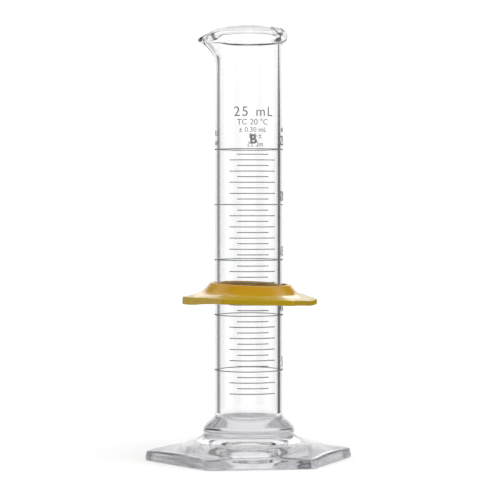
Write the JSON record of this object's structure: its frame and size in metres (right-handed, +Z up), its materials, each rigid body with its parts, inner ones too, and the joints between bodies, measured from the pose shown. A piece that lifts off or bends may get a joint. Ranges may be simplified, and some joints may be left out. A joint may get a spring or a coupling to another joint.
{
  "type": "graduated cylinder",
  "caption": "Tall clear glass measuring cylinder with a pouring spout, a hexagonal glass foot, an enamel scale and a yellow hexagonal bumper guard that slides on the barrel.",
  "frame": {"origin": "on the barrel's axis, in the plane that the foot stands on", "axes": "+Z up along the barrel, -X towards the pouring spout, -Y towards the middle of the scale"},
  "size_m": [0.0666, 0.0586, 0.138],
  "materials": {
    "clear_glass": "clear borosilicate glass, fire polished",
    "guard_plastic": "moulded yellow ochre plastic, glossy, slightly translucent",
    "fired_enamel": "grey fired enamel, matt"
  },
  "bodies": {
    "glassware": {"glass_barrel": "clear_glass", "hexagonal_foot": "clear_glass", "ring_mark_05_0_ml": "fired_enamel", "ring_mark_10_0_ml": "fired_enamel", "ring_mark_15_0_ml": "fired_enamel", "ring_mark_20_0_ml": "fired_enamel", "ring_mark_25_0_ml": "fired_enamel", "long_mark_03_0_ml": "fired_enamel", "long_mark_04_0_ml": "fired_enamel", "long_mark_06_0_ml": "fired_enamel", "long_mark_07_0_ml": "fired_enamel", "long_mark_08_0_ml": "fired_enamel", "long_mark_09_0_ml": "fired_enamel", "long_mark_11_0_ml": "fired_enamel", "long_mark_12_0_ml": "fired_enamel", "long_mark_13_0_ml": "fired_enamel", "long_mark_14_0_ml": "fired_enamel", "long_mark_16_0_ml": "fired_enamel", "long_mark_17_0_ml": "fired_enamel", "long_mark_18_0_ml": "fired_enamel", "long_mark_19_0_ml": "fired_enamel", "long_mark_21_0_ml": "fired_enamel", "long_mark_22_0_ml": "fired_enamel", "long_mark_23_0_ml": "fired_enamel", "long_mark_24_0_ml": "fired_enamel", "short_mark_03_5_ml": "fired_enamel", "short_mark_04_5_ml": "fired_enamel", "short_mark_05_5_ml": "fired_enamel", "short_mark_06_5_ml": "fired_enamel", "short_mark_07_5_ml": "fired_enamel", "short_mark_08_5_ml": "fired_enamel", "short_mark_09_5_ml": "fired_enamel", "short_mark_10_5_ml": "fired_enamel", "short_mark_11_5_ml": "fired_enamel", "short_mark_12_5_ml": "fired_enamel", "short_mark_13_5_ml": "fired_enamel", "short_mark_14_5_ml": "fired_enamel", "short_mark_15_5_ml": "fired_enamel", "short_mark_16_5_ml": "fired_enamel", "short_mark_17_5_ml": "fired_enamel", "short_mark_18_5_ml": "fired_enamel", "short_mark_19_5_ml": "fired_enamel", "short_mark_20_5_ml": "fired_enamel", "short_mark_21_5_ml": "fired_enamel", "short_mark_22_5_ml": "fired_enamel", "short_mark_23_5_ml": "fired_enamel", "short_mark_24_5_ml": "fired_enamel"},
    "guard": {"bumper_guard": "guard_plastic"}
  },
  "joints": [
    {"name": "guard_slide", "type": "slide", "parent": "glassware", "child": "guard", "axis": [0, 0, 1], "range_m": [-0.0354, 0.0695]}
  ]
}
